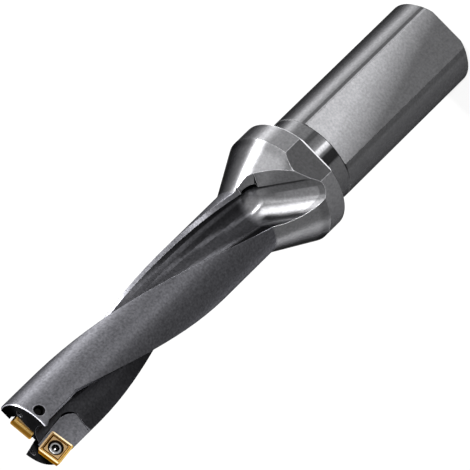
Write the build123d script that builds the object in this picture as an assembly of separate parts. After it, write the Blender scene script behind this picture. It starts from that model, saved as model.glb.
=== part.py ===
from build123d import *
import os
from math import acos, atan2, cos, degrees, radians, sin, tan

os.makedirs("parts", exist_ok=True)

# An indexable drill for 20 mm holes, standing on the rear end of its shank.
# The drill axis is Z, the origin is the centre of the shank's rear face and the tip points up.
# The clamping flat and the rake face of the outer insert face +Y.
# Angles are in degrees, counter-clockwise from +X as seen from the tip.

# Shank and flange
shank_diameter = 25.0
shank_length = 56.0
shank_end_chamfer = 0.9
shank_neck_relief = 0.1
clamping_flat_distance = 10.44
clamping_flat_length = 49.5
flange_diameter = 32.16
flange_rim_length = 5.9
flange_cone_length = 13.4
flange_flat_distance = 15.05
flange_edge_chamfer = 0.3

# Drill body
body_diameter = 19.1
body_length = 102.5
front_edge_chamfer = 0.42

# Chip flutes
cutter_radius = 5.5
flute_bottom_strip_count = 9
web_radius = 2.4
flute_half_opening = 42.25
edge_chamfer_start = 103.9
flute_lead = 209.3
twisted_flute_setback = 12.3
straight_flute_length = 10.3
straight_flute_angle = 46.6
flute_swing_back = 1.45
edge_chamfer_setback = 2.8
edge_chamfer_end_angle = 64.0
flute_spacing = 172.7
runout_height = 17.9
runout_outward = 0.543
runout_sideways = 0.62
runout_rearward = 0.566
runout_shelf_depth = 5.19

# Inserts and their seats
insert_size = 6.35
insert_thickness = 2.38
insert_corner_radius = 0.5
insert_relief_angle = 11.0
cutting_lip_width = 0.42
chip_groove_width = 0.62
chip_groove_depth = 0.25
chip_groove_slope = 30.0

outer_insert_reach = 6.55
outer_insert_lift = 0.45
outer_insert_tilt = 8.8
outer_insert_lead = 6.0
outer_insert_setback = 2.45
platform_drop = 0.22
platform_wall_gap = 0.6
platform_cutter_radius = 5.0
platform_cutter_travel = 6.4
platform_heel_start = 30.0
platform_heel_angle = 70.0

inner_insert_reach = 2.6
inner_insert_lead = -6.6
inner_insert_setback = 1.9
inner_seat_gap = 0.35
inner_platform_drop = 0.35
inner_platform_length = 7.5
inner_platform_wall = 1.75
inner_platform_wall_slant = 6.5
inner_platform_reach = 6.1
inner_shoulder_height = 1.7

# Insert screws
screw_diameter = 2.2
screw_head_diameter = 3.3
screw_head_edge = 0.25
screw_head_angle = 60.0
screw_head_sink = 0.25
screw_head_clearance = 0.25
screw_crown_width = 0.3
screw_crown_height = 0.15
screw_thread_clearance = 0.02
insert_hole_clearance = 0.15
screw_hole_chamfer = 0.2
outer_screw_length = 6.6
inner_screw_length = 8.2
screw_end_chamfer = 0.3
star_radius = 0.78
star_lobe_radius = 0.26
star_depth = 0.9
star_point_depth = 0.3

# Coolant
coolant_bore_diameter = 13.0
coolant_bore_depth = 42.0
drill_point_angle = 118.0
coolant_hole_diameter = 1.8
coolant_hole_reach = 6.5
coolant_wall_strip_count = 12
coolant_exit_angles = (143.5, -57.0)

# Derived places
shank_radius = shank_diameter / 2
neck_radius = shank_radius - shank_neck_relief
flange_radius = flange_diameter / 2
body_radius = body_diameter / 2
rim_end = shank_length + flange_rim_length
cone_end = rim_end + flange_cone_length
tip = shank_length + body_length
twist_per_mm = 360 / flute_lead
twist_end = tip - twisted_flute_setback
straight_start = tip - straight_flute_length
runout_start = shank_length + runout_height
flute_centre = web_radius + cutter_radius
insert_hole_radius = screw_diameter / 2 + insert_hole_clearance
overrun = 4.0


def polar(radius, angle):
    """A point or direction across the axis."""
    return Vector(radius * cos(radians(angle)), radius * sin(radians(angle)), 0)


def arc_strips(centre, radius, start, end, count):
    """An arc counter-clockwise between two points, in equal strips, for a wall that twists."""
    from_centre = start - centre
    to_centre = end - centre
    first = degrees(atan2(from_centre.Y, from_centre.X))
    turn = (degrees(atan2(to_centre.Y, to_centre.X)) - first) % 360 or 360
    return [
        CenterArc((centre.X, centre.Y), radius, first + turn * strip / count, turn / count)
        for strip in range(count)
    ]


def body_blank():
    """The shank, flange, cone and body, turned as one profile.

    The shank is ground as far as the clamping flat goes, and is a little thinner beyond it.
    """
    outline = Polyline(
        (0, 0),
        (shank_radius - shank_end_chamfer, 0),
        (shank_radius, shank_end_chamfer),
        (shank_radius, clamping_flat_length),
        (neck_radius, clamping_flat_length),
        (neck_radius, shank_length),
        (flange_radius - flange_edge_chamfer, shank_length),
        (flange_radius, shank_length + flange_edge_chamfer),
        (flange_radius, rim_end),
        (body_radius, cone_end),
        (body_radius, tip - front_edge_chamfer),
        (body_radius - front_edge_chamfer, tip),
        (0, tip),
        close=True,
    )
    return revolve(Plane.XZ * make_face(outline), axis=Axis.Z)


def flat_cut(distance, start, end):
    """A block that leaves a flat facing +Y at a distance from the axis."""
    width = 2 * flange_diameter
    block = Box(width, width, end - start, align=(Align.CENTER, Align.MIN, Align.MIN))
    return Pos(0, distance, start) * block


def flute_profile(chamfered=True):
    """The section of a chip flute, with its middle along +X.

    A round bottom, a straight wall on the clockwise side and, on the other, a chamfered or a plain edge.
    """
    centre = Vector(flute_centre, 0, 0)
    rim = polar(body_radius, -flute_half_opening)
    to_rim = rim - centre
    swing = degrees(acos(cutter_radius / to_rim.length))
    tangent = centre + polar(cutter_radius, degrees(atan2(to_rim.Y, to_rim.X)) - swing)
    wall = (rim - tangent).normalized()
    if chamfered:
        junction = centre + polar(cutter_radius, edge_chamfer_start)
        out = (polar(body_radius, flute_half_opening) - junction).normalized()
    else:
        junction = centre + polar(cutter_radius, 90)
        out = Vector(1, 0, 0)
    wall_end = rim + wall * body_radius
    edge_end = junction + out * 2 * body_radius
    outline = arc_strips(centre, cutter_radius, junction, tangent, flute_bottom_strip_count)
    outline += [
        Line(tangent, wall_end),
        Line(wall_end, edge_end),
        Line(edge_end, junction),
    ]
    return make_face(Wire(outline))


def flute_angle(height):
    """Where the middle of the first flute's twisted part points at a height."""
    return straight_flute_angle + flute_swing_back + twist_per_mm * (height - twist_end)


def twisted(profile, angle, start, end, turn=None):
    """A section carried along the axis from its angle at the start, by the flutes' twist or a given turn."""
    section = Pos(0, 0, start) * Rot(0, 0, angle) * profile
    length = end - start
    if turn is None:
        turn = twist_per_mm * length
    return Solid.extrude_linear_with_rotation(section.face(), (0, 0, start), (0, 0, length), turn)


def straight_flute():
    """The first flute's straight part. Its edge chamfer stops at a slant, a little before the tip."""
    place = Pos(0, 0, straight_start) * Rot(0, 0, straight_flute_angle)
    length = straight_flute_length + overrun
    plain = extrude(place * flute_profile(chamfered=False), length)
    chamfered = extrude(place * flute_profile(), length)
    edge_angle = straight_flute_angle + flute_half_opening
    edge = polar(body_radius, edge_angle) + Vector(0, 0, tip - edge_chamfer_setback)
    into_flute = polar(sin(radians(edge_chamfer_end_angle)), edge_angle + 90)
    slant = Plane(origin=edge, z_dir=into_flute + Vector(0, 0, cos(radians(edge_chamfer_end_angle))))
    return plain + split(chamfered, bisect_by=slant, keep=Keep.BOTTOM)


def runout(middle):
    """Where the cutter leaves a flute: a ball, then a trough that rises rearwards and sideways.

    A flat shelf beside the trough carries on the flute's edge chamfer.
    """
    out = polar(runout_outward, middle)
    side = polar(runout_sideways, middle - 90)
    along = (out + side - Vector(0, 0, runout_rearward)).normalized()
    across = along.cross(Vector(0, 0, 1)) * -1
    centre = polar(flute_centre, middle) + Vector(0, 0, runout_start)
    reach = 2 * flange_diameter
    shelf = Pos(0, -runout_shelf_depth) * Rectangle(reach, reach, align=(Align.MIN, Align.MIN))
    section = Plane(origin=centre, x_dir=across, z_dir=along) * (Circle(cutter_radius) + shelf)
    ball = Pos(*centre) * Sphere(cutter_radius)
    return extrude(section, reach) + ball


def flutes():
    """Both flutes with their run-outs. The first one swings back a little and is straight near the tip."""
    profile = flute_profile()
    low = flute_angle(runout_start)
    first = twisted(profile, low, runout_start, twist_end)
    swing = twisted(profile, flute_angle(twist_end), twist_end, straight_start, -flute_swing_back)
    second = twisted(profile, low + flute_spacing, runout_start, tip + overrun)
    return [first, swing, straight_flute(), runout(low), second, runout(low + flute_spacing)]


def insert_place(angle, reach, lift, setback, tilt, lead):
    """Where an insert's rake face is: z out of it, x towards the tip, y away from the drill axis."""
    upright = Plane(origin=(0, 0, 0), x_dir=(0, 0, 1), z_dir=(0, 1, 0)).location
    return Rot(0, 0, angle) * Pos(reach, lift, tip - setback) * Rot(0, 0, tilt) * upright * Rot(0, 0, lead)


def insert():
    """A square insert with relief all round, a chip groove behind its lips and a screw hole."""
    square = RectangleRounded(insert_size, insert_size, insert_corner_radius)
    blank = extrude(square, -insert_thickness, taper=insert_relief_angle)
    inside_lip = insert_size - 2 * cutting_lip_width
    groove_outer = extrude(Rectangle(inside_lip, inside_lip), -chip_groove_depth, taper=chip_groove_slope)
    island_size = inside_lip - 2 * chip_groove_width
    island = extrude(Rectangle(island_size, island_size), -chip_groove_depth, taper=-chip_groove_slope)
    body = blank - (groove_outer - island)
    return body - screw_seat()


def screw_seat():
    """The countersunk hole through an insert, from its rake face down."""
    slope = tan(radians(screw_head_angle / 2))
    head_radius = screw_head_diameter / 2
    mouth_radius = head_radius + screw_head_clearance
    cone_start = screw_head_sink + screw_head_edge
    cone_stop = cone_start + (head_radius - insert_hole_radius) / slope
    outline = Polyline(
        (0, overrun),
        (mouth_radius, overrun),
        (mouth_radius, -cone_start + screw_head_clearance / slope),
        (insert_hole_radius, -cone_stop),
        (insert_hole_radius, -insert_thickness - overrun),
        (0, -insert_thickness - overrun),
        close=True,
    )
    return revolve(Plane.XZ * make_face(outline), axis=Axis.Z)


def insert_screw(length):
    """A countersunk screw with a six-lobed recess, its head just under the rake face."""
    slope = tan(radians(screw_head_angle / 2))
    head_radius = screw_head_diameter / 2
    radius = screw_diameter / 2
    top = -screw_head_sink
    cone_start = top - screw_head_edge
    outline = Polyline(
        (0, top),
        (head_radius - screw_crown_width, top),
        (head_radius, top - screw_crown_height),
        (head_radius, cone_start),
        (radius, cone_start - (head_radius - radius) / slope),
        (radius, -length + screw_end_chamfer),
        (radius - screw_end_chamfer, -length),
        (0, -length),
        close=True,
    )
    screw = revolve(Plane.XZ * make_face(outline), axis=Axis.Z)
    lobes = PolarLocations(star_radius, 6) * Circle(star_lobe_radius)
    star = Circle(star_radius) + lobes
    point = Cone(0, star_radius, star_point_depth, align=(Align.CENTER, Align.CENTER, Align.MAX))
    return screw - Pos(0, 0, top) * (extrude(star, -star_depth) + Pos(0, 0, -star_depth) * point)


def screw_hole(place):
    """The tapped hole behind an insert, right through the land, chamfered where it comes out."""
    radius = screw_diameter / 2 + screw_thread_clearance
    mouth = radius + screw_hole_chamfer
    start = Vector(place.position.X, place.position.Y, 0)
    down = Plane(place).z_dir * -1
    along = start.dot(down)
    exit_depth = -along + (along**2 - start.dot(start) + body_radius**2) ** 0.5
    outline = Polyline(
        (0, -insert_thickness),
        (radius, -insert_thickness),
        (radius, -exit_depth + screw_hole_chamfer),
        (mouth, -exit_depth),
        (mouth, -exit_depth - overrun),
        (0, -exit_depth - overrun),
        close=True,
    )
    return place * revolve(Plane.XZ * make_face(outline), axis=Axis.Z)


def seat_cut(place, width):
    """The pocket an insert sits in: leaning walls and a flat seat, open past the tip."""
    reach = insert_size + body_radius
    near = -insert_size / 2
    corner = Pos(near, near) * Rectangle(reach, width, align=(Align.MIN, Align.MIN))
    return place * extrude(corner, -insert_thickness, taper=insert_relief_angle)


def outer_platform(place):
    """The milled flat around and behind the outer insert, just below its rake face.

    The cutter's own round is left at its inner rear corner, and a slanting heel behind it.
    """
    near = -insert_size / 2 - platform_wall_gap
    front = insert_size + overrun
    far = 2 * body_radius
    centre = Vector(-platform_cutter_travel, near + platform_cutter_radius, 0)
    wall_end = centre - Vector(0, platform_cutter_radius, 0)
    heel = centre + polar(platform_cutter_radius, 180 + platform_heel_start)
    heel_end = heel + polar(far, platform_heel_angle)
    middle = centre + polar(platform_cutter_radius, 225 + platform_heel_start / 2)
    outline = [
        ThreePointArc(wall_end, middle, heel),
        Line(heel, heel_end),
        Line(heel_end, (front, far)),
        Line((front, far), (front, near)),
        Line((front, near), wall_end),
    ]
    return place * Pos(0, 0, -platform_drop) * extrude(make_face(Wire(outline)), cutter_radius)


def inner_platform():
    """The room cut around the inner insert, with a raised shoulder beyond it and a slanting wall."""
    far = 2 * body_radius
    slant = tan(radians(inner_platform_wall_slant))
    outline = Polyline(
        (inner_platform_wall, inner_platform_drop),
        (-inner_platform_reach, inner_platform_drop),
        (-inner_platform_reach, -inner_shoulder_height),
        (-far, -inner_shoulder_height),
        (-far, -far),
        (inner_platform_wall + slant * far, -far),
        (inner_platform_wall, 0),
        close=True,
    )
    room = extrude(make_face(outline), inner_platform_length + overrun)
    return Pos(0, 0, tip - inner_platform_length) * room


def coolant_bore():
    """The blind bore that brings coolant in at the rear end."""
    radius = coolant_bore_diameter / 2
    point = radius / tan(radians(drill_point_angle / 2))
    outline = Polyline(
        (0, 0),
        (radius, 0),
        (radius, coolant_bore_depth),
        (0, coolant_bore_depth + point),
        close=True,
    )
    return revolve(Plane.XZ * make_face(outline), axis=Axis.Z)


def coolant_hole(exit_angle):
    """A coolant hole that twists with the lands, from the rear bore to the front face."""
    start = coolant_bore_depth - coolant_hole_diameter / 2
    radius = coolant_hole_diameter / 2
    side = Vector(coolant_hole_reach + radius, 0, 0)
    centre = Vector(coolant_hole_reach, 0, 0)
    hole = make_face(Wire(arc_strips(centre, radius, side, side, coolant_wall_strip_count)))
    return twisted(hole, exit_angle - twist_per_mm * (tip - start), start, tip + overrun)


def drill_body(outer_place, inner_place):
    body = body_blank()
    cuts = [
        flat_cut(clamping_flat_distance, -overrun, clamping_flat_length),
        flat_cut(flange_flat_distance, shank_length, cone_end),
    ]
    cuts += flutes()
    cuts += [
        outer_platform(outer_place),
        inner_platform(),
        seat_cut(outer_place, insert_size + body_radius),
        seat_cut(inner_place, insert_size + inner_seat_gap),
        screw_hole(outer_place),
        screw_hole(inner_place),
        coolant_bore(),
    ]
    cuts += [coolant_hole(angle) for angle in coolant_exit_angles]
    for cut in cuts:
        body = body - cut
    return body


def build():
    outer_place = insert_place(
        0, outer_insert_reach, outer_insert_lift, outer_insert_setback, outer_insert_tilt, outer_insert_lead
    )
    inner_place = insert_place(180, inner_insert_reach, 0, inner_insert_setback, 0, inner_insert_lead)
    pieces = {
        "drill_body": drill_body(outer_place, inner_place),
        "outer_insert": outer_place * insert(),
        "inner_insert": inner_place * insert(),
        "outer_insert_screw": outer_place * insert_screw(outer_screw_length),
        "inner_insert_screw": inner_place * insert_screw(inner_screw_length),
    }
    for name, piece in pieces.items():
        export_step(piece, f"parts/{name}.step")
    return pieces


build()
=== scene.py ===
import math

import bpy
from mathutils import Matrix, Vector

# The finish, light and view of an indexable drill that stands on the rear end of its shank.
# The drill axis is Z, the clamping flat faces +Y and the tip points up. Sizes are in metres and
# angles in degrees, unless a comment says otherwise.

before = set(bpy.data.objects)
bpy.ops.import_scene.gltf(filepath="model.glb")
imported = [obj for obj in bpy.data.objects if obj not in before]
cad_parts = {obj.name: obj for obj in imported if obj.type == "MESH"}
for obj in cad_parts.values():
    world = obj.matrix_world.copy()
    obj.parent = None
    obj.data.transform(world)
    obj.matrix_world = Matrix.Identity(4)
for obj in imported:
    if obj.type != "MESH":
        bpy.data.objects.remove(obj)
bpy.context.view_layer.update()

MM = 0.001
FINE = 0.05 * MM
HAIR = 0.1 * MM


def mm(*sizes):
    """Sizes in metres from sizes in millimetres."""
    return tuple(size * MM for size in sizes)


# Heights along the drill and radii of its turned surfaces, as in the model
FLAT_END = 49.5 * MM
SHANK_END = 56.0 * MM
RIM_END = 61.9 * MM
CONE_END = 75.3 * MM
TIP = 158.5 * MM
SHANK_RADIUS = 12.5 * MM
FLANGE_RADIUS = 16.08 * MM
BODY_RADIUS = 9.55 * MM

# Run-outs of the two flutes, as in the model: the way their middles point, and the way the troughs
# leave the body
RUNOUT_HEIGHT = SHANK_END + 17.9 * MM
FLUTE_LEAD = 209.3 * MM
TWIST_END = TIP - 12.3 * MM
STRAIGHT_ANGLE = 46.6
SWING_BACK = 1.45
FLUTE_SPACING = 172.7
FIRST_MIDDLE = STRAIGHT_ANGLE + SWING_BACK + 360 * (RUNOUT_HEIGHT - TWIST_END) / FLUTE_LEAD
MIDDLES = (FIRST_MIDDLE, FIRST_MIDDLE + FLUTE_SPACING)
RUNOUT_OUTWARD = 0.543
RUNOUT_SIDEWAYS = 0.62
RUNOUT_REARWARD = 0.566

# Camera, as fitted to the photograph
CAMERA_ELEVATION = 30.2
CAMERA_DISTANCE = 1.3624
CAMERA_CENTRE = Vector((0, 0, SHANK_END))
CAMERA_AIM = Vector((0.000225, -0.01048, 0.07401))
CAMERA_UP_REARWARD = 0.6998
CAMERA_UP_SIDEWAYS = -0.7143
CAMERA_LENS = 420.6
SENSOR_WIDTH = 36.0
CAMERA_REACH = 10


def make_camera():
    """A long lens from above the clamping flat, rolled so that the tip is at the lower left."""
    rise = math.radians(CAMERA_ELEVATION)
    towards = Vector((0, math.cos(rise), math.sin(rise)))
    place = CAMERA_CENTRE + CAMERA_DISTANCE * towards
    back = (place - CAMERA_AIM).normalized()
    rearward = Vector((0, towards.z, -towards.y))
    up = CAMERA_UP_REARWARD * rearward + Vector((CAMERA_UP_SIDEWAYS, 0, 0))
    up = (up - up.dot(back) * back).normalized()
    right = up.cross(back)
    data = bpy.data.cameras.new("camera")
    data.lens = CAMERA_LENS
    data.sensor_width = SENSOR_WIDTH
    data.clip_end = CAMERA_REACH
    camera = bpy.data.objects.new("camera", data)
    bpy.context.scene.collection.objects.link(camera)
    axes = Matrix((right, up, back)).transposed().to_4x4()
    camera.matrix_world = Matrix.Translation(place) @ axes
    bpy.context.scene.camera = camera


NOISE_MIDDLE = (0.3, 0.7)


class Shader:
    """Short calls for the nodes of one material or world."""

    def __init__(self, owner):
        owner.use_nodes = True
        self.tree = owner.node_tree
        self.tree.nodes.clear()

    def node(self, kind, *sources, **settings):
        """A new node with its settings, and what its first sockets take."""
        made = self.tree.nodes.new("ShaderNode" + kind)
        for name, value in settings.items():
            setattr(made, name, value)
        for socket, source in zip(made.inputs, sources):
            self.feed(socket, source)
        return made

    def feed(self, socket, source):
        """Gives a socket a link or a plain value, or leaves it as it is."""
        if isinstance(source, bpy.types.NodeSocket):
            self.tree.links.new(source, socket)
        elif source is not None:
            socket.default_value = source

    def feed_all(self, made, **sources):
        """Feeds sockets by their names, with underscores for spaces, and gives the node's outputs."""
        for name, source in sources.items():
            self.feed(made.inputs[name.replace("_", " ")], source)
        return made.outputs

    def calc(self, operation, *sources):
        return self.node("Math", *sources, operation=operation).outputs[0]

    def add(self, a, b):
        return self.calc("ADD", a, b)

    def minus(self, a, b):
        return self.calc("SUBTRACT", a, b)

    def larger(self, a, b):
        return self.calc("MAXIMUM", a, b)

    def times(self, product, *others):
        """The product of all. For masks this is where all of them hold."""
        for other in others:
            product = self.calc("MULTIPLY", product, other)
        return product

    def line(self, value, slope, through):
        """A straight line over a value, through the point of a value and its result."""
        return self.add(through[1] - slope * through[0], self.times(value, slope))

    def split(self, vector):
        return self.node("SeparateXYZ", vector).outputs[0:3]

    def length(self, a, b):
        """How far a point is from an axis, from its two distances across it."""
        across = self.node("CombineXYZ", a, b, 0.0).outputs[0]
        return self.node("VectorMath", across, operation="LENGTH").outputs["Value"]

    def along(self, vector, direction):
        """How much of a vector goes in a direction, which is a fixed one or a socket."""
        if isinstance(direction, Vector):
            direction = tuple(direction)
        return self.node("VectorMath", vector, direction, operation="DOT_PRODUCT").outputs["Value"]

    def slope(self, kind, value, low, high, start, end):
        made = self.node("MapRange", interpolation_type=kind)
        return self.feed_all(made, Value=value, From_Min=low, From_Max=high, To_Min=start, To_Max=end)[0]

    def past(self, value, low, high):
        """Nought below low, one above high and a smooth step between them."""
        return self.slope("SMOOTHSTEP", value, low, high, 0.0, 1.0)

    def before(self, value, low, high):
        """One below low, nought above high and a smooth step between them."""
        return self.slope("SMOOTHSTEP", value, low, high, 1.0, 0.0)

    def linear(self, value, low, high, start, end):
        """From start at low to end at high in a straight slope."""
        return self.slope("LINEAR", value, low, high, start, end)

    def band(self, value, low, high, soft):
        """One between two values, nought outside them."""
        rise = self.past(value, low - soft, low + soft)
        return self.times(rise, self.before(value, high - soft, high + soft))

    def mix(self, amount, a, b):
        """A number between two numbers."""
        made = self.node("Mix", data_type="FLOAT")
        return self.feed_all(made, Factor=amount, A=a, B=b)["Result"]

    def blend(self, amount, a, b):
        """A colour between two colours, which a mix node takes in its sockets 6 and 7."""
        made = self.node("Mix", data_type="RGBA")
        self.feed(made.inputs[0], amount)
        self.feed(made.inputs[6], a)
        self.feed(made.inputs[7], b)
        return made.outputs[2]

    def laid_over(self, number, *layers):
        """A number with others laid over it in turn, each where its own mask holds."""
        for mask, level in layers:
            number = self.mix(mask, number, level)
        return number

    def painted_over(self, colour, *layers):
        """A colour with others laid over it in turn, each where its own mask holds."""
        for mask, paint in layers:
            colour = self.blend(mask, colour, paint)
        return colour

    def noise(self, place, scale, detail=2.0):
        return self.feed_all(self.node("TexNoise", place), Scale=scale, Detail=detail)[0]

    def spread(self, noise, start, end):
        """Noise, which seldom leaves the middle of its range, stretched from start to end."""
        return self.linear(noise, *NOISE_MIDDLE, start, end)

    def bump(self, height, distance, strength, normal=None):
        made = self.node("Bump")
        return self.feed_all(made, Strength=strength, Distance=distance, Height=height, Normal=normal)[0]

    def metal(self, colour, roughness, tint):
        """The shader of a metal. The tint is the colour of what it reflects at a low angle."""
        surface = self.node("BsdfPrincipled")
        self.feed_all(surface, Metallic=1.0, Base_Color=colour, Roughness=roughness, Specular_Tint=tint)
        self.node("OutputMaterial", surface.outputs[0])
        return surface


def grey(value):
    return (value, value, value, 1.0)


def polar(radius, angle):
    """A level vector, by its length and its angle from +X."""
    turn = math.radians(angle)
    return Vector((radius * math.cos(turn), radius * math.sin(turn), 0))


def shelf_directions(middle):
    """The way the flat shelf beside a run-out faces, and the way across it, for the flute's middle."""
    sideways = polar(RUNOUT_SIDEWAYS, middle - 90)
    along = (polar(RUNOUT_OUTWARD, middle) + sideways - Vector((0, 0, RUNOUT_REARWARD))).normalized()
    across = -along.cross(Vector((0, 0, 1)))
    return along.cross(across).normalized(), across.normalized()


def insert_axes(side, reach, lift, setback, tilt, turn):
    """An insert's place in the model, from sizes in millimetres. The middle of its rake face is the
    middle of its axes, where X points to the tip, Y outwards and Z out of the face."""
    stand = Matrix(((0, 1, 0, 0), (0, 0, 1, 0), (1, 0, 0, 0), (0, 0, 0, 1)))
    middle = Vector((reach, lift, TIP / MM - setback)) * MM
    around, lean, in_plane = (Matrix.Rotation(math.radians(a), 4, "Z") for a in (side, tilt, turn))
    return around @ Matrix.Translation(middle) @ lean @ stand @ in_plane


OUTER_AXES = insert_axes(side=0, reach=6.55, lift=0.45, setback=2.45, tilt=8.8, turn=6.0)
INNER_AXES = insert_axes(side=180, reach=2.6, lift=0, setback=1.9, tilt=0, turn=-6.6)
OUTER_RAKE = OUTER_AXES.to_3x3() @ Vector((0, 0, 1))


def in_insert(s, axes):
    """A point's place in an insert's own directions: to the tip, outwards and out of its rake face."""
    place = s.node("TexCoord").outputs["Object"]
    middle = tuple(axes.translation)
    offset = s.node("VectorMath", place, middle, operation="SUBTRACT").outputs["Vector"]
    return [s.along(offset, direction) for direction in axes.to_3x3().transposed()]


# Where the finishes of the steel, and the painted light and shade on it, begin and end. A soft step runs
# from the first number to the second.
PAST_AXIS = mm(0, 1)
MILLED_DEPTH = mm(0.03, 0.08)
CONE_HEIGHT = (RIM_END, RIM_END + HAIR)
BODY_HEIGHT = (CONE_END - 0.5 * MM, CONE_END + 0.5 * MM)
FACES_FLAT = (0.97, 0.985)
FACES_CUT = (0.975, 0.99)
CLAMPING_FLAT_REACH = mm(10.3, 10.4)
BESIDE_FLAT_REACH = mm(8, 9)
NECK_SHADE_REACH = mm(9, 10)
FLANGE_FLAT_REACH = mm(14.9, 15.0)
REAR_EDGE_RADIUS = mm(14.9, 15.0)
REAR_EDGE_SIDE = mm(-2, 2)
CHAMFER_OUTWARD = (0.2, 0.3)
CHAMFER_DEPTH = mm(1.2, 1.4)
SHELF_HEIGHT = mm(77, 80)
SCOOP_HEIGHT = mm(72.5, 76)
SCOOP_LEAN = (-0.2, 0.45)
PLATFORM_HEIGHT = mm(140, 142)
NEAR_TIP = mm(118, 136)
FACES_FRONT = (0.9, 0.95)
FRONT_HEIGHT = (TIP - HAIR, TIP - FINE)
FRONT_EDGE_HEIGHT = (TIP - 0.2 * MM, TIP - 0.14 * MM)
SCREW_HOLE_FAR_SIDE = mm(-5, -4)
SCREW_HOLE_RADIUS = mm(1.4, 1.46)
SCREW_HOLE_DEPTH = mm(0.1, 0.2)
HIGHLIT_CORNER = (0.9, 0.99)
EDGE_HIGHLIGHT_HEIGHT = mm(78, 82)
EDGE_ROUNDING = 0.18 * MM
EDGE_SAMPLES = 6

# Strips and lines that are drawn, most of them painted highlights and painted shade: from one place to
# the other, with the softness of their edges
CONE_START = (RIM_END, RIM_END + 2 * MM, 0.8 * MM)
SHADED_STRIP = mm(6.5, 8.2, 0.4)
PAINTED_SHADE_LINE = mm(-8.1, -7.3, 0.1)
PAINTED_HIGHLIGHT_LINE = mm(-7.3, -6.8, 0.1)
COLLAR = (FLAT_END, SHANK_END, HAIR)
COLLAR_BANDS = (FLAT_END, SHANK_END - 0.2 * MM, HAIR)
COLLAR_PAINTED_DARK = mm(1.5, 4.2, 0.4)
COLLAR_PAINTED_GREY = mm(-4.6, -3.1, 0.4)
COLLAR_PAINTED_HIGHLIGHT = mm(-0.6, 0.8, 0.3)
NECK_STEP = (FLAT_END - 0.2 * MM, FLAT_END + 0.2 * MM, FINE)
FLANGE_REAR = (SHANK_END, SHANK_END + 0.35 * MM, FINE)
FRONT_EDGE_LEAN = (0.55, 0.85, 0.05)
SCREW_HOLE_RIM = mm(1.46, 1.62, 0.05)

# The rounded end of a shelf lies on the cone between two slanting lines, in degrees from the flute's
# middle and millimetres of height. The side is an angle over the height, the rear a height over the
# angle, and each has a slope and goes through a point.
SHELF_SIDE_SLOPE = 1.6
SHELF_SIDE_POINT = (71.3, 37.6)
SHELF_SIDE_SOFTNESS = 0.8
SHELF_REAR_SLOPE = 0.16
SHELF_REAR_POINT = (29.1, 69.48)
SHELF_REAR_SOFTNESS = 0.15
SHELF_END_HEIGHT = mm(68, 76, 0.5)
SHELF_END_ANGLE = (8, 10)
SHELF_END_DEPTH = mm(0.35, 0.45)


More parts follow.
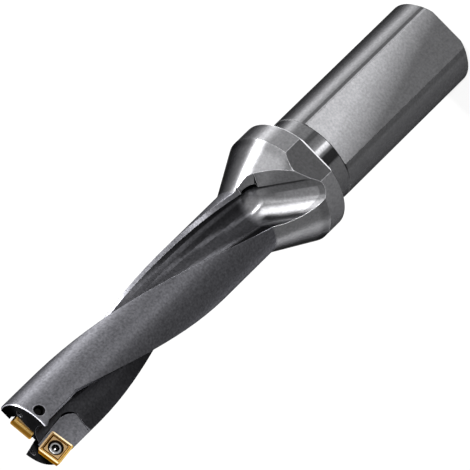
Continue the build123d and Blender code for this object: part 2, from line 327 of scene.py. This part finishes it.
class Steel:
    """A point of the drill's body: where it lies, which way it faces, and the surfaces it is on."""

    def __init__(self, s):
        places = s.node("TexCoord").outputs
        self.place = places["Object"]
        self.facing = places["Normal"]
        self.x, self.y, self.z = s.split(self.place)
        self.nx, self.ny, self.nz = s.split(self.facing)
        self.radius = s.length(self.x, self.y)
        self.mark_turned(s)
        self.mark_flats(s)
        self.mark_collar(s)
        self.mark_runouts(s)
        self.mark_tip(s)
        self.mark_screw_hole(s)
        self.mark_edges(s)

    def faces_any(self, s, directions):
        """Where the surface faces one of these directions."""
        found = 0.0
        for direction in directions:
            found = s.larger(found, s.past(s.along(self.facing, direction), *FACES_CUT))
        return found

    def mark_turned(self, s):
        """The turned surfaces, and how deep a cut surface lies inside them."""
        self.past_shank = s.past(self.z, SHANK_END - HAIR, SHANK_END + HAIR)
        turned = s.linear(self.z, RIM_END, CONE_END, FLANGE_RADIUS, BODY_RADIUS)
        self.depth = s.minus(s.mix(self.past_shank, SHANK_RADIUS, turned), self.radius)
        self.cone = s.past(self.z, *CONE_HEIGHT)
        self.cone_start = s.band(self.z, *CONE_START)
        self.body = s.past(self.z, *BODY_HEIGHT)
        self.milled = s.times(s.past(self.depth, *MILLED_DEPTH), self.past_shank)

    def mark_flats(self, s):
        """The clamping flat, the strips of painted shade and painted highlight on the shank beside it,
        and the small flat on the flange.
        """
        faces_flat = s.past(self.ny, *FACES_FLAT)
        below_end = s.before(self.z, FLAT_END, FLAT_END + HAIR)
        self.clamping_flat = s.times(faces_flat, below_end, s.past(self.y, *CLAMPING_FLAT_REACH))
        self.flange_flat = s.times(faces_flat, self.milled, s.past(self.y, *FLANGE_FLAT_REACH))
        beside_flat = s.times(below_end, s.past(self.y, *BESIDE_FLAT_REACH))
        # Painted shade in a strip on the +X side of the flat, and a painted shade line and a painted
        # highlight line along its -X edge
        self.shaded_strip = s.times(beside_flat, s.band(self.x, *SHADED_STRIP))
        self.painted_shade_line = s.times(beside_flat, s.band(self.x, *PAINTED_SHADE_LINE))
        self.painted_highlight_line = s.times(beside_flat, s.band(self.x, *PAINTED_HIGHLIGHT_LINE))

    def mark_collar(self, s):
        """The collar between the clamping flat and the flange, its bands of painted reflection and
        painted highlight, and the lines of painted shade and painted highlight at its ends.
        """
        self.collar = s.band(self.z, *COLLAR)
        bands = s.times(s.band(self.z, *COLLAR_BANDS), s.past(self.y, *PAST_AXIS))
        # Painted reflection on the front of the collar: a dark band, a grey band and a white painted
        # highlight
        self.collar_painted_dark = s.times(bands, s.band(self.x, *COLLAR_PAINTED_DARK))
        self.collar_painted_grey = s.times(bands, s.band(self.x, *COLLAR_PAINTED_GREY))
        self.collar_painted_highlight = s.times(bands, s.band(self.x, *COLLAR_PAINTED_HIGHLIGHT))
        self.neck_step = s.band(self.z, *NECK_STEP)
        # A thin line of painted shade at the step where the clamping flat ends
        self.neck_shade_line = s.times(self.neck_step, s.past(self.y, *NECK_SHADE_REACH))
        # A painted highlight along the flange's rear edge
        self.rear_edge_highlight = s.times(s.band(self.z, *FLANGE_REAR), s.past(self.radius, *REAR_EDGE_RADIUS))

    def mark_runouts(self, s):
        """The scoops that the flutes run out in, the painted shade on one wall of each, and the shelves
        beside them.
        """
        shelf_ways = [shelf_directions(middle)[0] for middle in MIDDLES]
        below_body = s.before(self.z, *SHELF_HEIGHT)
        self.shelf = s.times(self.milled, self.faces_any(s, shelf_ways), below_body)
        self.shelf_ends = [self.shelf_end(s, middle) for middle in MIDDLES]
        self.scoop = s.times(self.milled, s.before(self.z, *SCOOP_HEIGHT))
        self.scoop_wall_shade = 0.0
        # Painted shade on the wall of each scoop that faces across its shelf's way
        for middle in MIDDLES:
            leaning = s.past(s.along(self.facing, -shelf_directions(middle)[1]), *SCOOP_LEAN)
            own_side = s.past(s.along(self.place, polar(1, middle)), *PAST_AXIS)
            self.scoop_wall_shade = s.add(self.scoop_wall_shade, s.times(own_side, leaning))

    def shelf_end(self, s, middle):
        """The rounded end of a shelf, drawn on the cone next to the flute's edge."""
        outwards = s.along(self.place, polar(1, middle))
        sideways = s.along(self.place, polar(1, middle + 90))
        angle = s.calc("DEGREES", s.calc("ARCTAN2", sideways, outwards))
        height = s.calc("DIVIDE", self.z, MM)
        side = s.line(height, SHELF_SIDE_SLOPE, through=SHELF_SIDE_POINT)
        rear = s.line(angle, SHELF_REAR_SLOPE, through=SHELF_REAR_POINT)
        return s.times(
            s.past(s.minus(side, angle), -SHELF_SIDE_SOFTNESS, SHELF_SIDE_SOFTNESS),
            s.past(s.minus(height, rear), -SHELF_REAR_SOFTNESS, SHELF_REAR_SOFTNESS),
            s.band(self.z, *SHELF_END_HEIGHT),
            s.past(angle, *SHELF_END_ANGLE),
            s.before(self.depth, *SHELF_END_DEPTH),
        )

    def mark_tip(self, s):
        """The milled platform behind the outer insert, the front faces, which take painted shade, and
        the edge round them, which takes a painted highlight.
        """
        self.near_tip = s.past(self.z, *NEAR_TIP)
        faces_as_insert = self.faces_any(s, [OUTER_RAKE])
        self.platform = s.times(self.milled, faces_as_insert, s.past(self.z, *PLATFORM_HEIGHT))
        self.front = s.times(s.past(self.nz, *FACES_FRONT), s.past(self.z, *FRONT_HEIGHT))
        leaning = s.band(self.nz, *FRONT_EDGE_LEAN)
        self.front_edge_highlight = s.times(s.past(self.z, *FRONT_EDGE_HEIGHT), leaning)

    def mark_screw_hole(self, s):
        """The mouth of the inner screw's hole, on the side away from the screw's head, which takes
        painted shade, and its rim, which takes a painted highlight.
        """
        u, v, w = in_insert(s, INNER_AXES)
        off_axis = s.length(u, v)
        far_side = s.before(w, *SCREW_HOLE_FAR_SIDE)
        near_land = s.before(self.depth, *SCREW_HOLE_DEPTH)
        # Painted shade in the hole's mouth and a painted highlight on its rim
        self.screw_hole_shade = s.times(s.before(off_axis, *SCREW_HOLE_RADIUS), far_side)
        self.hole_rim_highlight = s.times(s.band(off_axis, *SCREW_HOLE_RIM), far_side, near_land)

    def mark_edges(self, s):
        """The chamfers along the flutes, a little rounding on every sharp edge, and the sharp edges past
        the shank, which take a painted highlight.
        """
        from_axis = s.add(s.times(self.x, self.nx), s.times(self.y, self.ny))
        outward = s.calc("DIVIDE", from_axis, self.radius)
        near_surface = s.before(self.depth, *CHAMFER_DEPTH)
        self.chamfer = s.times(self.milled, s.past(outward, *CHAMFER_OUTWARD), near_surface)
        self.rounded = s.feed_all(s.node("Bevel", samples=EDGE_SAMPLES), Radius=EDGE_ROUNDING)[0]
        straightness = s.along(self.rounded, s.node("NewGeometry").outputs["Normal"])
        # Sharp edges past the shank, where a painted highlight goes
        self.highlit_edge = s.times(s.before(straightness, *HIGHLIT_CORNER), self.past_shank)


# How light each surface of the steel is, from 0, black, to 1, white
SHANK_LEVEL = 0.105
RIM_LEVEL = 0.15
CONE_LEVEL = 0.112
# Painted shade on the top of the cone
CONE_START_SHADE = -0.3
BODY_LEVEL = 0.083
# The clamping flat's painted light falloff runs from its painted shade to its painted light
FLAT_PAINTED_SHADE_LEVEL = 0.047
FLAT_PAINTED_LIGHT_LEVEL = 0.18
# Painted shade and a painted highlight beside the clamping flat
SHADED_STRIP_LEVEL = 0.078
PAINTED_SHADE_LINE_LEVEL = 0.06
PAINTED_HIGHLIGHT_LINE_LEVEL = 0.22
# Painted shade of the flutes, a little less near the tip
FLUTE_SHADE_LEVEL = 0.028
FLUTE_TIP_SHADE_LEVEL = 0.038
SCOOP_LEVEL = 0.2
# Painted shade on the scoops' walls
SCOOP_WALL_SHADE_LEVEL = 0.02
BESIDE_FLUTE_LEVEL = 0.12
FLANGE_FLAT_LEVEL = 0.035
PLATFORM_LEVEL = 0.075
# Painted shade on the front faces, and painted highlights on their edge and along sharp edges
FRONT_SHADE_LEVEL = 0.01
FRONT_EDGE_HIGHLIGHT_LEVEL = 0.6
EDGE_HIGHLIGHT_FLANGE_LEVEL = 0.65
EDGE_HIGHLIGHT_BODY_LEVEL = 0.13
# Painted reflection bands and a painted highlight on the collar
COLLAR_PAINTED_DARK_LEVEL = 0.02
COLLAR_PAINTED_GREY_LEVEL = 0.05
COLLAR_PAINTED_HIGHLIGHT_LEVEL = 0.3
# Painted highlight on the flange's rear edge
REAR_HIGHLIGHT_LEFT_LEVEL = 0.8
REAR_HIGHLIGHT_RIGHT_LEVEL = 0.15
REAR_HIGHLIGHT_FLAT_LEVEL = 0.35
# Painted shade in a thin line at the neck step
NECK_SHADE_LEVEL = 0.04
# Painted highlight on the screw hole's rim and painted shade in its mouth
HOLE_RIM_HIGHLIGHT_LEVEL = 0.16
SCREW_HOLE_SHADE_LEVEL = 0.002

# How rough each surface of the steel is, from 0, a mirror, to 1, dull
SHANK_ROUGHNESS = 0.37
TURNED_ROUGHNESS = 0.36
BODY_ROUGHNESS = 0.72
GROUND_ROUGHNESS = 0.5
FLUTE_ROUGHNESS = 0.48
SCOOP_ROUGHNESS = 0.28
FLANGE_FLAT_ROUGHNESS = 0.55
NECK_STEP_ROUGHNESS = 0.8

# Grain of the steel: how fine it is, and how much of the level it takes away or adds
GRAIN_SCALE = 1700
GRAIN_DETAIL = 4.0
GRAIN_SHARE = 0.16
BODY_GRAIN_SHARE = 0.3
CLOUD_SCALE = 260
CLOUD_SHARE = 0.04
RING_SCALE = 5200
RING_SHARE = 0.05
GRAIN_HEIGHT = 0.01 * MM
GRAIN_STRENGTH = 0.5

# A trace of blue in the steel, stronger in the dark body and flutes
BLUE_OF_BRIGHT = 1.035
BLUE_OF_DARK = 1.09

# Highlights are drawn out a quarter turn from the way round the drill, which is along it, and stay
# dark at a low angle
HIGHLIGHT_STRETCH = 0.85
HIGHLIGHT_TURN = 0.25
STEEL_TINT = 0.05

# The clamping flat's painted shading rises from -1 to 1 across it and from 0 to 1.5 along it. The sum
# of both takes the flat from its painted shade level at 0.3 to its painted light level at 1.3.
SHADE_ACROSS = (*mm(10, -10), -1.0, 1.0)
SHADE_ALONG = (*mm(0, 57), 0.0, 1.5)
SHADE_STEP = (0.3, 1.3)


def clamping_flat_painted_shading(s, at):
    """The flat is painted lighter towards -X and towards the flange, in a soft slanting step: painted
    light falloff.
    """
    shade = s.add(s.linear(at.x, *SHADE_ACROSS), s.linear(at.z, *SHADE_ALONG))
    return s.linear(shade, *SHADE_STEP, FLAT_PAINTED_SHADE_LEVEL, FLAT_PAINTED_LIGHT_LEVEL)


def turned_level(s, at):
    """How light the shank, flange and body are, with painted light falloff on the clamping flat and the
    strips of painted shade and painted highlight beside it.
    """
    flange = s.mix(at.cone, RIM_LEVEL, CONE_LEVEL)
    # Painted shade on the top of the cone, just below the rim
    flange = s.times(flange, s.add(1.0, s.times(at.cone_start, CONE_START_SHADE)))
    return s.laid_over(
        s.mix(at.past_shank, SHANK_LEVEL, flange),
        (at.shaded_strip, SHADED_STRIP_LEVEL),
        (at.body, BODY_LEVEL),
        (at.clamping_flat, clamping_flat_painted_shading(s, at)),
        (at.painted_shade_line, PAINTED_SHADE_LINE_LEVEL),
        (at.painted_highlight_line, PAINTED_HIGHLIGHT_LINE_LEVEL),
    )


def with_cuts(s, at, level):
    """The level with the milled surfaces over it, with painted shade on the flutes, the scoops' walls
    and the front faces, and painted highlights on the front edge and along the sharp edges.
    """
    level = s.laid_over(
        level,
        # Painted shade on the milled surfaces of the flutes, darker than the body and a little less near
        # the tip
        (at.milled, s.mix(at.near_tip, FLUTE_SHADE_LEVEL, FLUTE_TIP_SHADE_LEVEL)),
        (at.scoop, s.mix(at.scoop_wall_shade, SCOOP_LEVEL, SCOOP_WALL_SHADE_LEVEL)),
        (at.chamfer, BESIDE_FLUTE_LEVEL),
        (at.shelf, BESIDE_FLUTE_LEVEL),
        (at.flange_flat, FLANGE_FLAT_LEVEL),
        (at.platform, PLATFORM_LEVEL),
        # Painted shade on the front faces and a painted highlight on their edge
        (at.front, FRONT_SHADE_LEVEL),
        (at.front_edge_highlight, FRONT_EDGE_HIGHLIGHT_LEVEL),
    )
    # A painted highlight along sharp edges, bright on the flange and faint on the body
    edge_highlight = s.mix(s.past(at.z, *EDGE_HIGHLIGHT_HEIGHT), EDGE_HIGHLIGHT_FLANGE_LEVEL, EDGE_HIGHLIGHT_BODY_LEVEL)
    return s.larger(level, s.times(at.highlit_edge, edge_highlight))


def with_lines(s, at, level):
    """The level with what is drawn over it: the collar's bands of painted reflection and painted
    highlight, the thin lines of painted shade and painted highlight at its ends, the painted shade in
    the mouth of the screw hole with a painted highlight on its rim, and the rounded ends of the shelves."""
    # The painted highlight on the flange's rear edge is bright on the -X side, faint on the +X side and
    # grey on the flange's flat
    rear_edge_highlight = s.mix(s.past(at.x, *REAR_EDGE_SIDE), REAR_HIGHLIGHT_LEFT_LEVEL, REAR_HIGHLIGHT_RIGHT_LEVEL)
    level = s.laid_over(
        level,
        (at.collar_painted_dark, COLLAR_PAINTED_DARK_LEVEL),
        (at.collar_painted_grey, COLLAR_PAINTED_GREY_LEVEL),
        (at.collar_painted_highlight, COLLAR_PAINTED_HIGHLIGHT_LEVEL),
        (at.rear_edge_highlight, s.mix(at.flange_flat, rear_edge_highlight, REAR_HIGHLIGHT_FLAT_LEVEL)),
        (at.neck_shade_line, NECK_SHADE_LEVEL),
        (at.hole_rim_highlight, HOLE_RIM_HIGHLIGHT_LEVEL),
        (at.screw_hole_shade, SCREW_HOLE_SHADE_LEVEL),
    )
    return s.laid_over(level, *[(end, BESIDE_FLUTE_LEVEL) for end in at.shelf_ends])


def with_grain(s, at, level, grain):
    """The level with a fine grain, faint clouds and faint rings round the drill."""
    cloud = s.noise(at.place, CLOUD_SCALE)
    rings = s.noise(s.node("CombineXYZ", 0.0, 0.0, at.z).outputs[0], RING_SCALE)
    share = s.mix(at.body, GRAIN_SHARE, BODY_GRAIN_SHARE)
    level = s.times(level, s.add(1.0, s.times(share, s.spread(grain, -1.0, 1.0))))
    level = s.times(level, s.spread(cloud, 1 - CLOUD_SHARE, 1 + CLOUD_SHARE))
    return s.times(level, s.spread(rings, 1 - RING_SHARE, 1 + RING_SHARE))


def steel_roughness(s, at):
    """The body is blasted, and the rest is ground, turned or milled."""
    turned = s.mix(at.past_shank, SHANK_ROUGHNESS, TURNED_ROUGHNESS)
    rough = s.laid_over(
        s.mix(at.body, turned, BODY_ROUGHNESS),
        (at.clamping_flat, GROUND_ROUGHNESS),
        (at.milled, FLUTE_ROUGHNESS),
        (at.scoop, SCOOP_ROUGHNESS),
        (at.collar, TURNED_ROUGHNESS),
        (at.shelf, GROUND_ROUGHNESS),
    )
    rough = s.laid_over(rough, *[(end, GROUND_ROUGHNESS) for end in at.shelf_ends])
    flange_flat = (at.flange_flat, FLANGE_FLAT_ROUGHNESS)
    return s.laid_over(rough, flange_flat, (at.neck_step, NECK_STEP_ROUGHNESS))


def steel_colour(s, at, level):
    """The level as a colour. The dark surfaces are the body and the flutes up to their run-outs."""
    dark = s.larger(at.body, s.times(at.milled, s.minus(1.0, at.scoop)))
    blue = s.times(level, s.mix(dark, BLUE_OF_BRIGHT, BLUE_OF_DARK))
    return s.node("CombineColor", level, level, blue).outputs[0]


def steel_facing(s, at):
    """The way the steel faces, with rounded edges, and with each shelf's end as flat as the shelf."""
    ways = [(*shelf_directions(middle)[0], 1.0) for middle in MIDDLES]
    return s.painted_over(at.rounded, *zip(at.shelf_ends, ways))


def drill_steel():
    """Ground, turned, milled and blasted steel, told apart by height, radius and direction."""
    material = bpy.data.materials.new("drill_steel")
    s = Shader(material)
    at = Steel(s)
    grain = s.noise(at.place, GRAIN_SCALE, GRAIN_DETAIL)
    level = with_cuts(s, at, turned_level(s, at))
    level = with_grain(s, at, with_lines(s, at, level), grain)
    surface = s.metal(steel_colour(s, at, level), steel_roughness(s, at), grey(STEEL_TINT))
    around = s.node("Tangent", direction_type="RADIAL", axis="Z").outputs[0]
    bumpy = s.bump(grain, GRAIN_HEIGHT, GRAIN_STRENGTH, steel_facing(s, at))
    s.feed_all(surface, Anisotropic=HIGHLIGHT_STRETCH, Anisotropic_Rotation=HIGHLIGHT_TURN)
    s.feed_all(surface, Tangent=around, Normal=bumpy)
    return material


# Colours of the gold coated inserts, with painted highlights on the lips and painted shade in the groove
# and the hole
GROOVE_AT_LIPS = (0.36, 0.20, 0.05, 1)
GROOVE_SHADE_AT_REAR = (0.03, 0.01, 0.001, 1)
GROOVE_SHADE_LINE = (0.05, 0.025, 0.006, 1)
ISLAND = (0.29, 0.19, 0.09, 1)
INSERT_HOLE_SHADE = (0.02, 0.012, 0.006, 1)
LIP_HIGHLIGHT = (1.0, 0.80, 0.50, 1)
OUTER_LIP_HIGHLIGHT = (0.55, 0.36, 0.10, 1)
SIDE_LIP_HIGHLIGHT = (0.66, 0.45, 0.24, 1)
FLANK_AT_LIP = (0.36, 0.20, 0.05, 1)
FLANK_MIDDLE = (0.19, 0.09, 0.015, 1)
FLANK_AT_SEAT = (0.42, 0.28, 0.10, 1)
GOLD_TINT = (0.8, 0.5, 0.2, 1.0)

# Where those colours begin and end: distances from the middle of the rake face, and heights over it
LIP_START = mm(2.74, 2.8)
OUTER_LIP_START = mm(2.7, 2.76)
SIDE_LIP_END = mm(-2.76, -2.7)
GROOVE_SPAN = mm(2.16, 2.76, 0.03)
GROOVE_LINE_SPAN = mm(2.1, 2.3, 0.05)
GROOVE_TO_LIPS = mm(2.1, 2.18)
INSERT_HOLE_RADIUS = mm(1.95, 2.05)
FLANK_START = mm(2.5, 2.6)
FLANK_TOP = mm(-0.12, -0.04)
FLANK_LIP_HEIGHT = mm(-0.9, -0.3)
FLANK_SEAT_HEIGHT = mm(-2.1, -1.6)
FRONT_FLANK_START = mm(2.4, 2.5)

# Roughness and grain of the coating
GOLD_ROUGHNESS = 0.42
LIP_ROUGHNESS = 0.25
GOLD_GRAIN_SCALE = 3500
GOLD_CLOUD_SCALE = 700
GOLD_GRAIN_SHARE = 0.2
GOLD_GRAIN_HEIGHT = 0.004 * MM
GOLD_GRAIN_STRENGTH = 0.6


def rake_colour(s, u, v, from_middle, lip):
    """The rake face: the island and its hole with painted shade, the chip groove round it with painted
    shade at its rear and along its inner line, and the lips with a painted highlight.
    """
    # Painted shade at the rear of the groove and along its inner line, and painted highlights on the
    # lips
    groove = s.painted_over(
        GROOVE_SHADE_AT_REAR,
        (s.past(s.larger(u, v), *GROOVE_TO_LIPS), GROOVE_AT_LIPS),
        (s.band(from_middle, *GROOVE_LINE_SPAN), GROOVE_SHADE_LINE),
    )
    lips = s.painted_over(
        LIP_HIGHLIGHT,
        (s.past(v, *OUTER_LIP_START), OUTER_LIP_HIGHLIGHT),
        (s.before(v, *SIDE_LIP_END), SIDE_LIP_HIGHLIGHT),
    )
    return s.painted_over(
        ISLAND,
        (s.band(from_middle, *GROOVE_SPAN), groove),
        (s.before(s.length(u, v), *INSERT_HOLE_RADIUS), INSERT_HOLE_SHADE),
        (lip, lips),
    )


def flank_colour(s, w):
    """The flanks, from the lips down to the seat."""
    return s.painted_over(
        FLANK_AT_SEAT,
        (s.past(w, *FLANK_SEAT_HEIGHT), FLANK_MIDDLE),
        (s.past(w, *FLANK_LIP_HEIGHT), FLANK_AT_LIP),
    )


def gold_coating(name, axes, front_flank_shade):
    """A gold coating with a painted highlight on the cutting lips and painted shade in the chip groove,
    and dull on the island and flanks. The flank at the drill's front takes painted shade by a factor."""
    material = bpy.data.materials.new(name)
    s = Shader(material)
    u, v, w = in_insert(s, axes)
    from_middle = s.larger(s.calc("ABSOLUTE", u), s.calc("ABSOLUTE", v))
    lip = s.past(from_middle, *LIP_START)
    flank = s.times(s.before(w, *FLANK_TOP), s.past(from_middle, *FLANK_START))
    colour = s.blend(flank, rake_colour(s, u, v, from_middle, lip), flank_colour(s, w))

    place = s.node("TexCoord").outputs["Object"]
    grain = s.noise(place, GOLD_GRAIN_SCALE)
    grain_and_cloud = s.times(s.add(grain, s.noise(place, GOLD_CLOUD_SCALE)), 0.5)
    shade = s.spread(grain_and_cloud, 1 - GOLD_GRAIN_SHARE, 1 + GOLD_GRAIN_SHARE)
    # Painted shade on the flank at the drill's front
    flank_shade = s.mix(s.past(u, *FRONT_FLANK_START), 1.0, front_flank_shade)
    shade = s.times(shade, s.mix(flank, 1.0, flank_shade))
    shaded = s.feed_all(s.node("VectorMath", colour, operation="SCALE"), Scale=shade)["Vector"]

    surface = s.metal(shaded, s.mix(lip, GOLD_ROUGHNESS, LIP_ROUGHNESS), GOLD_TINT)
    s.feed_all(surface, Normal=s.bump(grain, GOLD_GRAIN_HEIGHT, GOLD_GRAIN_STRENGTH))
    return material


# The screws: painted black as the shade of the recess and the holes, with a grey ring on the head and a
# painted highlight on the floor of the recess
SCREW_SHADE_LEVEL = 0.004
SCREW_RING_LEVEL = 0.24
SCREW_HIGHLIGHT_LEVEL = 0.5
SCREW_RING = mm(0.98, 1.52, 0.04)
SCREW_HEAD_HEIGHT = mm(-0.6, -0.4)
SCREW_SPOT_RADIUS = mm(0.25, 0.35)
SCREW_SPOT_HEIGHT = mm(-2.5, -2)
SCREW_ROUGHNESS = 0.3
SCREW_TINT = 0.1


def screw_steel(name, axes):
    material = bpy.data.materials.new(name)
    s = Shader(material)
    u, v, w = in_insert(s, axes)
    off_axis = s.length(u, v)
    ring = s.times(s.band(off_axis, *SCREW_RING), s.past(w, *SCREW_HEAD_HEIGHT))
    spot = s.times(s.before(off_axis, *SCREW_SPOT_RADIUS), s.past(w, *SCREW_SPOT_HEIGHT))
    # Black painted shade, with a painted highlight on the floor of the recess and the grey ring of the
    # head
    level = s.laid_over(SCREW_SHADE_LEVEL, (spot, SCREW_HIGHLIGHT_LEVEL), (ring, SCREW_RING_LEVEL))
    colour = s.node("CombineColor", level, level, level).outputs[0]
    s.metal(colour, SCREW_ROUGHNESS, grey(SCREW_TINT))
    return material


def dress(node, material):
    """Gives a CAD piece its material."""
    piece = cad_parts[node]
    piece.data.materials.clear()
    piece.data.materials.append(material)


LAMP_AIM = Vector((0, 0, 0.08))


def area_light(name, azimuth, elevation, distance, width, height, power):
    """A soft lamp aimed at the drill. Its azimuth is from the flat's side towards -X."""
    turn = math.radians(azimuth)
    rise = math.radians(elevation)
    level = math.cos(rise)
    towards = Vector((-math.sin(turn) * level, math.cos(turn) * level, math.sin(rise)))
    data = bpy.data.lights.new(name, "AREA")
    data.energy = power
    data.shape = "RECTANGLE"
    data.size = width
    data.size_y = height
    light = bpy.data.objects.new(name, data)
    bpy.context.scene.collection.objects.link(light)
    light.location = LAMP_AIM + distance * towards
    light.rotation_euler = towards.to_track_quat("Z", "Y").to_euler()


def seen_rays(s):
    """One for the rays that show the background itself: from the camera, off metal and through glass."""
    path = s.node("LightPath").outputs
    seen = s.larger(path["Is Camera Ray"], path["Is Glossy Ray"])
    return s.larger(seen, path["Is Transmission Ray"])


STUDIO_LIGHT = 0.45
FLOOR_REACH = 3
FLOOR_PALE = 0.9
FLOOR_WHITE_SHARE = 0.85


def light_world():
    """A studio that looks white and lights the drill softly."""
    world = bpy.data.worlds.new("studio")
    bpy.context.scene.world = world
    s = Shader(world)
    level = s.mix(seen_rays(s), STUDIO_LIGHT, 1.0)
    s.node("OutputWorld", s.node("Background", grey(1.0), level).outputs[0])


def make_floor():
    """A floor that looks white and keeps the drill's shadow."""
    mesh = bpy.data.meshes.new("floor")
    corners = [(x * FLOOR_REACH, y * FLOOR_REACH, 0) for x, y in ((-1, -1), (1, -1), (1, 1), (-1, 1))]
    mesh.from_pydata(corners, [], [(0, 1, 2, 3)])
    floor = bpy.data.objects.new("floor", mesh)
    bpy.context.scene.collection.objects.link(floor)
    material = bpy.data.materials.new("white_floor")
    s = Shader(material)
    lit = s.node("BsdfDiffuse", grey(FLOOR_PALE)).outputs[0]
    white = s.node("Emission", grey(1.0), 1.0).outputs[0]
    share = s.times(seen_rays(s), FLOOR_WHITE_SHARE)
    s.node("OutputMaterial", s.node("MixShader", share, lit, white).outputs[0])
    mesh.materials.append(material)


bpy.context.scene.view_settings.view_transform = "Standard"
make_camera()

dress("drill_body", drill_steel())
for side, axes, front_flank_shade in (("outer", OUTER_AXES, 0.7), ("inner", INNER_AXES, 1.0)):
    dress(side + "_insert", gold_coating(side + "_gold", axes, front_flank_shade))
    dress(side + "_insert_screw", screw_steel(side + "_screw_steel", axes))

area_light("key", azimuth=90, elevation=14, distance=0.9, width=0.17, height=0.5, power=23)
area_light("front", azimuth=4, elevation=12, distance=1.0, width=0.08, height=0.5, power=10)
area_light("fill", azimuth=50, elevation=22, distance=1.0, width=0.8, height=0.6, power=9)
area_light("rear", azimuth=-122, elevation=12, distance=1.0, width=0.5, height=0.5, power=4)
light_world()
make_floor()
